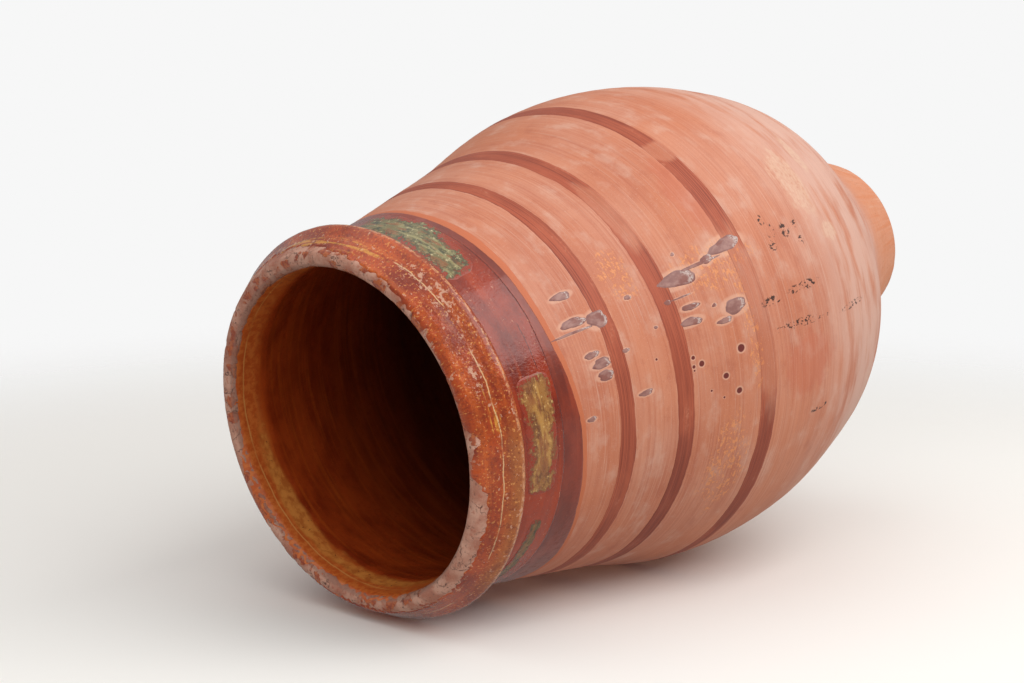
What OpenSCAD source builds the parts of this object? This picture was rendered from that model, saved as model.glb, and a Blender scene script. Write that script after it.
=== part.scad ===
// Wheel-thrown terracotta storage jar with a rolled rim, a glazed mouth and collar,
// painted slip bands on the shoulder and belly, and a small flat foot.
// The jar stands on its foot: +Z runs from the foot to the mouth, origin under the foot's centre.
// The wall is thrown as rings that are luted on each other, and every coat lies on its own wall.

/* [View] */
// Which sub-part to draw

/* [Overall] */
// Height from the foot to the lip
jar_h = 512; // [500:1:530]
// Radius of the flat foot
foot_r = 57.5; // [30:0.5:120]
// Largest radius of the belly
belly_r = 159; // [80:0.5:250]
// Height of the largest radius
belly_z = 258; // [120:1:450]

/* [Wall] */
// Wall thickness of the upper body
wall_t = 9; // [5:0.5:20]
// Extra wall thickness at the bottom
bottom_extra = 5; // [0:0.5:15]
// Thickness of the floor
floor_t = 14; // [8:0.5:30]

/* [Luted joints] */
// Height of the joint between lower wall and belly
joint_belly = 132; // [80:1:200]
// Height of the joint between belly and shoulder
joint_shoulder = 304; // [220:1:340]
// Height of the joint between shoulder and collar
joint_collar = 428; // [380:1:450]
// Height of the joint between collar and rim
joint_rim = 482; // [478:1:486]

/* [Rim] */
// Radius of the rim's ridge
ridge_r = 125; // [90:0.5:180]
// Height of the ridge
ridge_z = 488.5; // [488:0.5:492]
// Rounding of the ridge
ridge_round = 3.5; // [1:0.5:8]
// Radius of the mouth
mouth_r = 104; // [102:0.5:108]
// Rounding of the lip's crest
lip_round = 5.5; // [4:0.5:7]
// Height of the bevel inside the mouth, from the joint to where the lip starts
bevel_h = 13; // [8:0.5:16]

/* [Coats] */
// Thickness of the glaze
glaze_t = 0.8; // [0.3:0.1:2]
// Thickness of the painted slip
slip_t = 0.4; // [0.2:0.1:1]
// Height where the dark edge of the collar glaze begins
edge_z = 441; // [430:0.5:470]
// Lower and upper height of the narrow slip line
line_span = [424, 428];
// Lower and upper height of the upper slip band
upper_span = [392, 404];
// Lower and upper height of the middle slip band
middle_span = [347, 360];
// Lower and upper height of the lower slip band
lower_span = [286, 297];

/* [Splashes] */
// Start and end angle of the copper-green splash
green_arc = [48, 115];
// Start and end angle of the ochre splash
ochre_arc = [-20, 20];
// Start and end angle of the small green streak
streak_arc = [-56, -29];
// Lower and upper height of the copper-green splash
green_span = [442, 470];
// Lower and upper height of the ochre splash
ochre_span = [450, 472];
// Lower and upper height of the small green streak
streak_span = [454, 464];

/* [Hidden] */
$fn = 128;
ring_step = 8;
// How far the bevel inside the mouth narrows, and the angle at which the ridge meets the rim's slope.
bevel_in = 0.6;
slope_angle = 28;
clay = [0.72, 0.44, 0.34];
slip = [0.60, 0.29, 0.20];
glaze = [0.52, 0.20, 0.09];

// Height and radius of the outer wall at the stations that shape it.
stations = [[0, foot_r], [30, foot_r + 11.5], [65, foot_r + 28], [100, foot_r + 50.5],
            [joint_belly, 132], [176, belly_r - 11], [214, belly_r - 2.5], [belly_z, belly_r],
            [joint_shoulder - 4, 154], [346, 141], [392, 131.2], [joint_collar, 123.5],
            [461, 117], [joint_rim + 4, 111]];
last = len(stations) - 1;

// Slope of the wall at station i, from its neighbours.
function slope(i) = let(a = stations[max(i - 1, 0)], b = stations[min(i + 1, last)])
    (b[1] - a[1]) / (b[0] - a[0]);
// Index of the span that height z lies in.
function span(z, i = 0) = (i >= last - 1 || z < stations[i + 1][0]) ? i : span(z, i + 1);
// Smooth radius at height z: a cubic through the stations.
function smooth_r(z) = let(i = span(z), p = stations[i], q = stations[i + 1], h = q[0] - p[0],
    t = (z - p[0]) / h)
    (2 * t * t * t - 3 * t * t + 1) * p[1] + (t * t * t - 2 * t * t + t) * h * slope(i)
    + (3 * t * t - 2 * t * t * t) * q[1] + (t * t * t - t * t) * h * slope(i + 1);
// The wall is drawn straight between regular heights, so that every coat meets it exactly.
function wall_r(z) = let(k = floor(z / ring_step), a = k * ring_step, t = (z - a) / ring_step)
    (1 - t) * smooth_r(a) + t * smooth_r(a + ring_step);
// Heights of the outline between two ends.
function heights(z0, z1) = concat([z0],
    [for (k = [floor(z0 / ring_step) + 1 : ceil(z1 / ring_step) - 1]) k * ring_step], [z1]);
// Outline points of the outside, and of the inside at one wall thickness.
function outside(z0, z1, off = 0) = [for (z = heights(z0, z1)) [wall_r(z) + off, z]];
function thick(z) = wall_t + bottom_extra * max(0, 1 - z / joint_belly);
function thick_line(z) = let(k = floor(z / ring_step), a = k * ring_step, t = (z - a) / ring_step)
    (1 - t) * thick(a) + t * thick(a + ring_step);
function inner_r(z) = wall_r(z) - thick_line(z);
function inside(z0, z1, off = 0) = [for (z = heights(z0, z1)) [inner_r(z) - off, z]];
function back(list) = [for (i = [len(list) - 1 : -1 : 0]) list[i]];

// One thrown ring of wall.
module wall_ring(z0, z1) {
    rotate_extrude() polygon(concat(outside(z0, z1), back(inside(z0, z1))));
}

// One coat on the outside, over a span of heights.
module coat(z0, z1, under, t, from = 0, to = 360) {
    rotate([0, 0, from - 90])
        rotate_extrude(angle = to - from)
            polygon(concat(outside(z0, z1, under), back(outside(z0, z1, under + t))));
}

// One splash of coloured glaze over the collar's glaze, between two heights and two angles.
module splash(heights_span, arc_span) {
    coat(heights_span[0], heights_span[1], glaze_t, slip_t, arc_span[0], arc_span[1]);
}

// One flat run or drop of glaze on the wall: angle, middle height, half width and length.
module drop(angle, z, half_w, length) {
    half = length / 2 - half_w;
    intersection() {
        coat(z - length / 2 - 1, z + length / 2 + 1, 0, glaze_t, angle - 6, angle + 6);
        rotate([0, 0, angle - 90]) translate([belly_r / 2, 0, z]) rotate([0, 90, 0])
            linear_extrude(belly_r) union() {
                translate([-half, 0]) circle(half_w, $fn = 32);
                translate([half, 0]) circle(half_w, $fn = 32);
                square([2 * half, 2 * half_w], center = true);
            }
    }
}

module foot_base() {
    color(clay) rotate_extrude()
        polygon(concat([[0, 0]], outside(0, floor_t), [[0, floor_t]]));
}

module lower_wall() {
    color(clay) wall_ring(floor_t, joint_belly);
}

module belly_wall() {
    color(clay) wall_ring(joint_belly, joint_shoulder);
}

module shoulder_wall() {
    color(clay) wall_ring(joint_shoulder, joint_collar);
}

module collar_wall() {
    color(clay) wall_ring(joint_collar, joint_rim);
}

// Points of an arc in the outline, about a centre at radius r and height z.
function arc(r, z, size, from, to, steps = 6) =
    [for (i = [0 : steps]) let(a = from + (to - from) * i / steps) [r + size * cos(a), z + size * sin(a)]];
function ridge_arc(off = 0) = arc(ridge_r - ridge_round, ridge_z, ridge_round + off, -75, slope_angle);
function lip_arc(from, to, off = 0) = arc(mouth_r + lip_round, jar_h - lip_round, lip_round + off, from, to);

// Rolled rim: an undercut, a rounded ridge, a slope up to the crest and a bevel into the mouth.
module rim() {
    color([0.78, 0.58, 0.50]) rotate_extrude()
        polygon(concat([[inner_r(joint_rim), joint_rim], [wall_r(joint_rim), joint_rim]],
                       ridge_arc(), lip_arc(slope_angle, 180), [[mouth_r - bevel_in, joint_rim + bevel_h]]));
}

// Glaze over the whole inside, up to the bare lip.
module interior_glaze() {
    g = glaze_t;
    top = jar_h - lip_round;
    color(glaze) rotate_extrude()
        polygon(concat([[0, floor_t]], inside(floor_t, joint_rim),
                       [[mouth_r - bevel_in, joint_rim + bevel_h], [mouth_r, top], [mouth_r - g, top],
                        [mouth_r - bevel_in - g, joint_rim + bevel_h]],
                       back(inside(floor_t + g, joint_rim, g)), [[0, floor_t + g]]));
}

// Glaze on the rim's outer slope, between the ridge and the bare crest.
module rim_glaze() {
    low = ridge_arc()[6];
    low_out = ridge_arc(glaze_t)[6];
    high = lip_arc(slope_angle, 180)[0];
    high_out = lip_arc(slope_angle, 180, glaze_t)[0];
    color(glaze) rotate_extrude() polygon([low, high, high_out, low_out]);
}

module collar_glaze() {
    color(glaze) coat(edge_z, joint_rim, 0, glaze_t);
}

module glaze_edge_band() {
    color([0.38, 0.17, 0.14]) coat(joint_collar, edge_z, 0, glaze_t);
}

module slip_line() {
    color(slip) coat(line_span[0], line_span[1], 0, slip_t);
}

module slip_band_upper() {
    color(slip) coat(upper_span[0], upper_span[1], 0, slip_t);
}

module slip_band_middle() {
    color(slip) coat(middle_span[0], middle_span[1], 0, slip_t);
}

module slip_band_lower() {
    color(slip) coat(lower_span[0], lower_span[1], 0, slip_t);
}

module green_splash() {
    color([0.42, 0.46, 0.26]) splash(green_span, green_arc);
}

module ochre_splash() {
    color([0.58, 0.40, 0.16]) splash(ochre_span, ochre_arc);
}

module green_streak() {
    color([0.36, 0.36, 0.18]) splash(streak_span, streak_arc);
}

module glaze_drip_long() {
    color([0.52, 0.40, 0.40]) drop(26, 322, 4.5, 46);
}

module glaze_drips_upper() {
    color([0.55, 0.42, 0.42]) {
        drop(33, 415, 3, 12);
        drop(24, 416.5, 3, 13);
        drop(15, 414, 2.5, 8);
        drop(10, 410, 3, 10);
    }
}

module glaze_drips_lower() {
    color([0.50, 0.36, 0.36]) {
        drop(18, 336, 2, 9);
        drop(13, 337, 3, 9);
        drop(16, 306, 4.5, 14);
        drop(11, 317, 2.5, 8);
    }
}

foot_base();
lower_wall();
belly_wall();
shoulder_wall();
collar_wall();
rim();
interior_glaze();
rim_glaze();
collar_glaze();
glaze_edge_band();
slip_line();
slip_band_upper();
slip_band_middle();
slip_band_lower();
green_splash();
ochre_splash();
green_streak();
glaze_drip_long();
glaze_drips_upper();
glaze_drips_lower();
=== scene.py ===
"""The looks of a wheel-thrown storage jar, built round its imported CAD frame.

The jar stands on its foot in the frame: +Z runs from the foot to the mouth, and lengths are in metres.
It is shown lying on its side. The floor is the plane that the rim's ridge and the belly both rest on,
and the camera is turned with it. Angles round the jar are in degrees: 0 is -Y and 90 is +X.
"""

import math
from functools import partial, reduce
from itertools import product

import bmesh
import bpy
import numpy as np
from mathutils import Matrix, Vector


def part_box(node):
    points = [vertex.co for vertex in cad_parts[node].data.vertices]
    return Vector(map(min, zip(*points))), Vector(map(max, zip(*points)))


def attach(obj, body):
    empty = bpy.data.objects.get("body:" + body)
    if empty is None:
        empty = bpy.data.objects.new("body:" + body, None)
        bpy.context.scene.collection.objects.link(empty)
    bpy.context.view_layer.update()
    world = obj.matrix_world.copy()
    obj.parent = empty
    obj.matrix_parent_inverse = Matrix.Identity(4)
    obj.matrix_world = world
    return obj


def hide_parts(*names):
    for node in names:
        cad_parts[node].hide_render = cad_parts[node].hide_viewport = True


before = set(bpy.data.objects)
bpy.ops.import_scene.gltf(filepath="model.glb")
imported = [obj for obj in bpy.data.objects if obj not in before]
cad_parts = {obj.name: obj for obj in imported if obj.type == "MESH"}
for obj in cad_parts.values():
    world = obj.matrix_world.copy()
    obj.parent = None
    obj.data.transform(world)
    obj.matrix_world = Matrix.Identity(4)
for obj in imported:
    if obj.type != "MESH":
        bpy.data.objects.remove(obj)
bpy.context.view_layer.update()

# ---------------------------------------------------------------- driving sizes

MM = 0.001
WALLS = ["lower_wall", "belly_wall", "shoulder_wall", "collar_wall"]
GLAZE = 0.8 * MM  # thickness of the glaze
SLIP = 0.4 * MM  # thickness of the painted slip
BURIED = 0.5 * MM  # how far a coat's back lies under the wall's surface

FLOOR_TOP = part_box("foot_base")[1].z
WALL_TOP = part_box("collar_wall")[1].z
RIM_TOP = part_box("rim")[1].z
RIDGE_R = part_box("rim")[1].x
RIDGE_Z = WALL_TOP + 6.5 * MM
RIDGE_ROUND = 3.5 * MM
LIP_ROUND = 5.5 * MM
MOUTH_R = RIDGE_R - 21 * MM
LIP_LEAN = 3.2 * MM  # the lip was left this much higher on the -Y side

TURN_STEPS = 840  # steps round the jar on the walls
INSIDE_STEPS = 600  # steps round the jar on the glaze inside it
RIM_STEPS = 1200  # steps round the rim, which has the finest wear
WALL_ROW = 2 * MM  # height of a row of faces on the walls
UNROLL_R = 0.145  # the radius at which angles are measured as lengths in the materials


# ---------------------------------------------------------------- outline of the wall


def cad_rings(name):
    """Each height at which a CAD node has vertices, with its largest and smallest radius there."""
    points = np.array([v.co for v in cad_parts[name].data.vertices])
    height = np.round(points[:, 2], 4)
    radius = np.hypot(points[:, 0], points[:, 1])
    return [(z, radius[height == z].max(), radius[height == z].min()) for z in np.unique(height)]


# Rings with vertices on only one side of the wall say nothing of the other side, so they are left out.
wall_knots = [ring for name in WALLS for ring in cad_rings(name)[1:-1] if ring[1] - ring[2] > 5 * MM]
wall_knots = wall_knots + cad_rings("collar_wall")[-1:]
outer_knots = np.array(cad_rings("foot_base")[:-1] + wall_knots)
inner_knots = np.array(wall_knots)


def smooth_line(x, xs, ys):
    """A cubic curve through the points, with each point's slope taken from its neighbours."""
    slopes = np.gradient(ys, xs)
    i = np.clip(np.searchsorted(xs, x) - 1, 0, len(xs) - 2)
    span = xs[i + 1] - xs[i]
    t = (x - xs[i]) / span
    start = (2 * t**3 - 3 * t**2 + 1) * ys[i] + (t**3 - 2 * t**2 + t) * span * slopes[i]
    return start + (3 * t**2 - 2 * t**3) * ys[i + 1] + (t**3 - t**2) * span * slopes[i + 1]


def whole_random(cell, seed):
    """A repeatable random number from 0 to 1 for each whole-number cell."""
    mixed = cell[..., 0] * 73856093 ^ cell[..., 1] * 19349663 ^ cell[..., 2] * 83492791 ^ seed * 6542989
    mixed = (mixed ^ mixed >> 13) * 1274126177 & 0xFFFFFFFF
    return ((mixed ^ mixed >> 16) & 0xFFFF) / 65535


def noise(points, size, seed=0):
    """Smooth noise from -1 to 1 with lumps of about this size."""
    cell = np.floor(points / size).astype(np.int64)
    part = points / size - cell
    part = part * part * (3 - 2 * part)
    total = np.zeros(points.shape[:-1])
    for corner in product((0, 1), repeat=3):
        share = np.prod(np.where(corner, part, 1 - part), axis=-1)
        total += share * whole_random(cell + np.array(corner), seed)
    return total * 2 - 1


def cylinder_points(turn, radius, height):
    """Points of the frame from an angle in radians, a radius and a height."""
    turn, radius, height = np.broadcast_arrays(turn, radius, height)
    return np.stack([radius * np.sin(turn), -radius * np.cos(turn), height], axis=-1)


def handwork(turn, z, seed=1):
    """How far the thrown wall stands off its true outline: out of round, throwing rings and dents."""
    where = cylinder_points(turn, 0.13, z)
    oval = 0.35 * MM * np.sin(2 * turn + 0.6) + 0.15 * MM * np.sin(3 * turn - 1)
    spiral = z / (11 * MM) + turn / (2 * np.pi)
    rings = 0.06 * MM * np.sin(2 * np.pi * spiral + 2.5 * noise(where, 60 * MM, seed))
    dents = 0.28 * MM * noise(where, 42 * MM, seed + 1) + 0.06 * MM * noise(where, 11 * MM, seed + 2)
    return (oval + rings + dents) * np.clip(z / (20 * MM), 0.2, 1)


def outer_radius(turn, z):
    """Radius of the jar's outside, with its handwork."""
    return smooth_line(z, outer_knots[:, 0], outer_knots[:, 1]) + handwork(turn, z)


def inner_radius(turn, z):
    """Radius of the jar's inside, which has deeper throwing rings than the outside."""
    spiral = z / (14 * MM) - turn / (2 * np.pi)
    where = cylinder_points(turn, 0.11, z)
    rings = 0.13 * MM * np.sin(2 * np.pi * spiral + 5 * noise(where, 45 * MM, 11))
    rings = rings + 0.12 * MM * noise(where, 16 * MM, 12)
    fade = np.clip((WALL_TOP - z) / (12 * MM), 0, 1)
    return smooth_line(z, inner_knots[:, 0], inner_knots[:, 2]) + rings * fade


# ---------------------------------------------------------------- meshes


def turns(steps):
    """Angles of one whole turn, in radians."""
    return np.linspace(-np.pi, np.pi, steps, endpoint=False)


def show(node, mesh, material):
    """Puts a finished mesh in the scene as the piece that stands for the CAD node of that name."""
    mesh.materials.append(material)
    mesh.shade_smooth()
    mesh.set_sharp_from_angle(angle=math.radians(50))
    piece = bpy.data.objects.new(node, mesh)
    bpy.context.scene.collection.objects.link(piece)
    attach(piece, "root")
    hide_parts(node)


def ring_solid(name, turn, radius, height, whole=True):
    """A closed solid from an outline that goes up the outside and down the inside.

    radius and height have one row for each outline point and one column for each angle.
    A solid that isn't whole stops at its first and last angle and is capped there.
    """
    rows, columns = radius.shape
    index = np.arange(rows * columns).reshape(rows, columns)
    ahead = np.roll(index, -1, axis=0)
    quads = np.stack([index, np.roll(index, -1, 1), np.roll(ahead, -1, 1), ahead], axis=-1)
    if not whole:
        quads = quads[:, :-1]
    faces = quads.reshape(-1, 4).tolist()
    if not whole:
        faces += [index[:, 0].tolist(), index[::-1, -1].tolist()]
    mesh = bpy.data.meshes.new(name)
    mesh.from_pydata(cylinder_points(turn, radius, height).reshape(-1, 3).tolist(), [], faces)
    return mesh


def merge_poles(mesh):
    """Joins the points that lie together on the axis, and drops the bare edge left between two poles."""
    work = bmesh.new()
    work.from_mesh(mesh)
    bmesh.ops.remove_doubles(work, verts=work.verts, dist=0.001 * MM)
    bmesh.ops.delete(work, geom=[edge for edge in work.edges if not edge.link_faces], context="EDGES")
    work.to_mesh(mesh)
    work.free()


def arc(centre_r, centre_z, size, start, end, steps):
    """Outline points of an arc between two angles in degrees."""
    sweep = np.radians(np.linspace(start, end, steps))
    return np.stack([centre_r + size * np.cos(sweep), centre_z + size * np.sin(sweep)], axis=-1)


def even_line(points, step):
    """Evenly spaced points along an outline, and the normals that point out of it."""
    length = np.concatenate([[0], np.cumsum(np.hypot(*np.diff(points, axis=0).T))])
    at = np.linspace(0, length[-1], int(length[-1] / step) + 1)
    line = np.stack([np.interp(at, length, points[:, 0]), np.interp(at, length, points[:, 1])], axis=-1)
    along = np.gradient(line, axis=0)
    normal = np.stack([along[:, 1], -along[:, 0]], axis=-1)
    return line, normal / np.linalg.norm(normal, axis=1)[:, None]


def on_wall(turn, z, lift):
    """Radius and height of points that stand off the outside wall by lift."""
    return outer_radius(turn, z) + lift, z


# ---------------------------------------------------------------- rim outline

ridge = (RIDGE_R - RIDGE_ROUND, RIDGE_Z)
lip = (MOUTH_R + LIP_ROUND, RIM_TOP - LIP_ROUND)
wall_end = smooth_line(np.array([WALL_TOP]), outer_knots[:, 0], outer_knots[:, 1])[0]
inner_end = smooth_line(np.array([WALL_TOP]), inner_knots[:, 0], inner_knots[:, 2])[0]
undercut = [[wall_end, WALL_TOP], [wall_end + 1.2 * MM, WALL_TOP + 1.4 * MM],
            [wall_end + 5 * MM, WALL_TOP + 2.6 * MM]]
slope_out = [[RIDGE_R - 4.6 * MM, RIDGE_Z + 8.5 * MM]]
mouth_line = [[MOUTH_R - 0.6 * MM, WALL_TOP + 13 * MM], [inner_end, WALL_TOP]]
rim_line, rim_normal = even_line(
    np.concatenate([undercut, arc(*ridge, RIDGE_ROUND, -75, 35, 14), slope_out,
                    arc(*lip, LIP_ROUND, 22, 180, 24), mouth_line]), 0.7 * MM)
rim_s = np.linspace(0, 1, len(rim_line))
# Shares of the rim's outline at its crest and at the edge of the mouth.
CREST_S = rim_s[np.argmax(rim_line[:, 1])]
MOUTH_S = rim_s[np.argmax((rim_s > CREST_S) & (rim_line[:, 0] < MOUTH_R + 0.3 * MM))]


def rim_wear(turn, radius, z):
    """How far wear has eaten into the rim: small chips along the crest, and fine pitting."""
    where = cylinder_points(turn, radius, z)
    chips = np.clip(noise(where, 8 * MM, 21) + 0.5 * noise(where, 3.2 * MM, 22) - 0.45, 0, 0.6)
    on_crest = np.clip((z - (RIM_TOP - 9 * MM)) / (5 * MM), 0, 1)
    pits = np.clip(noise(where, 1.6 * MM, 23) - 0.35, 0, 1)
    return (1.3 * chips * on_crest + 0.35 * pits * on_crest + 0.08 * noise(where, 6 * MM, 24)) * MM


def on_rim(turn, s, lift, worn=True):
    """Radius and height of points that stand off the rim by lift, at a share s of its outline."""
    radius, z = np.interp(s, rim_s, rim_line[:, 0]), np.interp(s, rim_s, rim_line[:, 1])
    out_r, out_z = np.interp(s, rim_s, rim_normal[:, 0]), np.interp(s, rim_s, rim_normal[:, 1])
    if worn:
        lift = lift - rim_wear(turn, radius, z)
    sway = handwork(turn, np.full_like(z, WALL_TOP))
    lean = LIP_LEAN * np.cos(turn) * np.clip((z - RIDGE_Z) / (RIM_TOP - RIDGE_Z), 0, 1)
    return radius + sway + out_r * lift, z + lean + out_z * lift


# ---------------------------------------------------------------- coats


def coat_solid(name, turn, surface, low, high, lift, ramp, rows=14, whole=True):
    """A thin coat between two edges on a surface. It thins out to nothing at its edges.

    low and high are the edges at each angle; lift is the coat's thickness across it, from 0 to 1;
    ramp is the share of its width over which it thins out. The rows are closest near the edges.
    """
    share = np.linspace(0, 1, rows)[:, None]
    share = share - 0.85 * np.sin(2 * np.pi * share) / (2 * np.pi)
    place = low + (high - low) * share
    edge = np.minimum(np.minimum(share, 1 - share) / ramp, 1)
    body = lift(share, turn) * np.sqrt(edge) - BURIED * 0.4 * (1 - edge)
    front = surface(turn, place, body)
    back = surface(turn, place[::-1], np.full_like(place, -BURIED))
    radius = np.concatenate([front[0], back[0]])
    height = np.concatenate([front[1], back[1]])
    mesh = ring_solid(name, turn, radius, height, whole)
    across = np.concatenate([share, share[::-1]]) * np.ones_like(turn)
    mesh.attributes.new("across", "FLOAT", "POINT").data.foreach_set("value", across.ravel())
    return mesh


def even_coat(thickness):
    """The lift of a coat that is equally thick all over."""
    return lambda share, turn: np.broadcast_to(thickness, np.broadcast_shapes(share.shape, turn.shape))


def ragged(turn, seed, waves, flecks):
    """An uneven edge: slow waves and small flecks, both in metres."""
    where = cylinder_points(turn, 0.12, np.zeros_like(turn))
    slow = noise(where, 38 * MM, seed) + 0.5 * noise(where, 14 * MM, seed + 1)
    return waves * slow + flecks * noise(where, 3 * MM, seed + 2)


# Rings of a drop from its buried skirt to its middle: share of its size, and of its thickness.
DROP_PROFILE = [(1.08, -0.6), (1, 0.0), (0.94, 0.5), (0.84, 0.85), (0.65, 1), (0.4, 0.9), (0.1, 0.86)]


def drop_solid(places, thickness, seed):
    """Runs and drops of glaze: each is an angle, a height, a half width and a half length in mm.

    The mesh keeps two values for its material: reach, from the middle to the edge, and rise, from
    the lower end to the upper end.
    """
    work = bmesh.new()
    reach_layer = work.verts.layers.float.new("reach")
    rise_layer = work.verts.layers.float.new("rise")
    phi = np.linspace(0, 2 * np.pi, 48, endpoint=False)
    for number, (angle, height, half_width, half_length) in enumerate(places):
        wobble = 1 + 0.12 * np.sin(2 * phi + number) + 0.08 * np.sin(3 * phi + 2.1 * number + seed)
        wobble += 0.05 * np.sin(5 * phi + 3.7 * number) + 0.03 * np.sin(8 * phi + 1.3 * number)
        rings = []
        for reach, lift in DROP_PROFILE:
            across = reach * wobble * half_width * np.sin(phi) * (1 - 0.12 * np.cos(phi))
            up = reach * wobble * half_length * np.cos(phi) * MM
            turn = math.radians(angle) + across * MM / outer_radius(0, np.array(height * MM))
            radius, z = on_wall(turn, height * MM + up, lift * thickness)
            ring = [work.verts.new(point) for point in cylinder_points(turn, radius, z)]
            for vertex, rise in zip(ring, reach * np.cos(phi)):
                vertex[reach_layer] = reach
                vertex[rise_layer] = rise
            rings.append(ring)
        for lower, upper in zip(rings, rings[1:]):
            for j in range(len(phi)):
                k = (j + 1) % len(phi)
                work.faces.new((lower[j], lower[k], upper[k], upper[j]))
        work.faces.new(rings[-1])
        work.faces.new(rings[0][::-1])
    bmesh.ops.recalc_face_normals(work, faces=work.faces)
    mesh = bpy.data.meshes.new("drops")
    work.to_mesh(mesh)
    work.free()
    return mesh


# ---------------------------------------------------------------- materials


def paint(red, green, blue):
    """A colour in everyday 0 to 255 values, as the linear colour that a shader takes."""
    return tuple(((c / 255 + 0.055) / 1.055) ** 2.4 for c in (red, green, blue)) + (1.0,)


class Nodes:
    """Short calls that add shader nodes to the tree of a material or of the world."""

    def __init__(self, owner):
        owner.use_nodes = True
        self.tree = owner.node_tree

    def add(self, kind, **settings):
        """A new node of this kind, with these of its properties set."""
        node = self.tree.nodes.new("ShaderNode" + kind)
        for key, value in settings.items():
            setattr(node, key, value)
        return node

    def feed(self, socket, value):
        """Gives a socket a link from another socket, a number, or a colour in 0 to 255 values."""
        if isinstance(value, bpy.types.NodeSocket):
            self.tree.links.new(value, socket)
        else:
            socket.default_value = paint(*value) if isinstance(value, tuple) else value

    def fed(self, node, *values):
        """Feeds the node's first sockets, and gives its first output."""
        for socket, value in zip(node.inputs, values):
            self.feed(socket, value)
        return node.outputs[0]

    def math(self, operation, *values):
        return self.fed(self.add("Math", operation=operation), *values)

    def step(self, value, low, high, kind="SMOOTHSTEP", start=0.0, end=1.0):
        """A soft change from start to end as the value goes from low to high, which may be the smaller."""
        node = self.add("MapRange", interpolation_type=kind)
        ends = (start, end) if low < high else (end, start)
        return self.fed(node, value, min(low, high), max(low, high), *ends)

    def noise_of(self, place, detail=3.0, rough=0.5, bend=0.0):
        """Noise with lumps about one unit across."""
        node = self.add("TexNoise")
        self.feed(node.inputs["Vector"], place)
        node.inputs["Scale"].default_value = 1.0
        node.inputs["Detail"].default_value = detail
        node.inputs["Roughness"].default_value = rough
        node.inputs["Distortion"].default_value = bend
        return node.outputs["Fac"]


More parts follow.
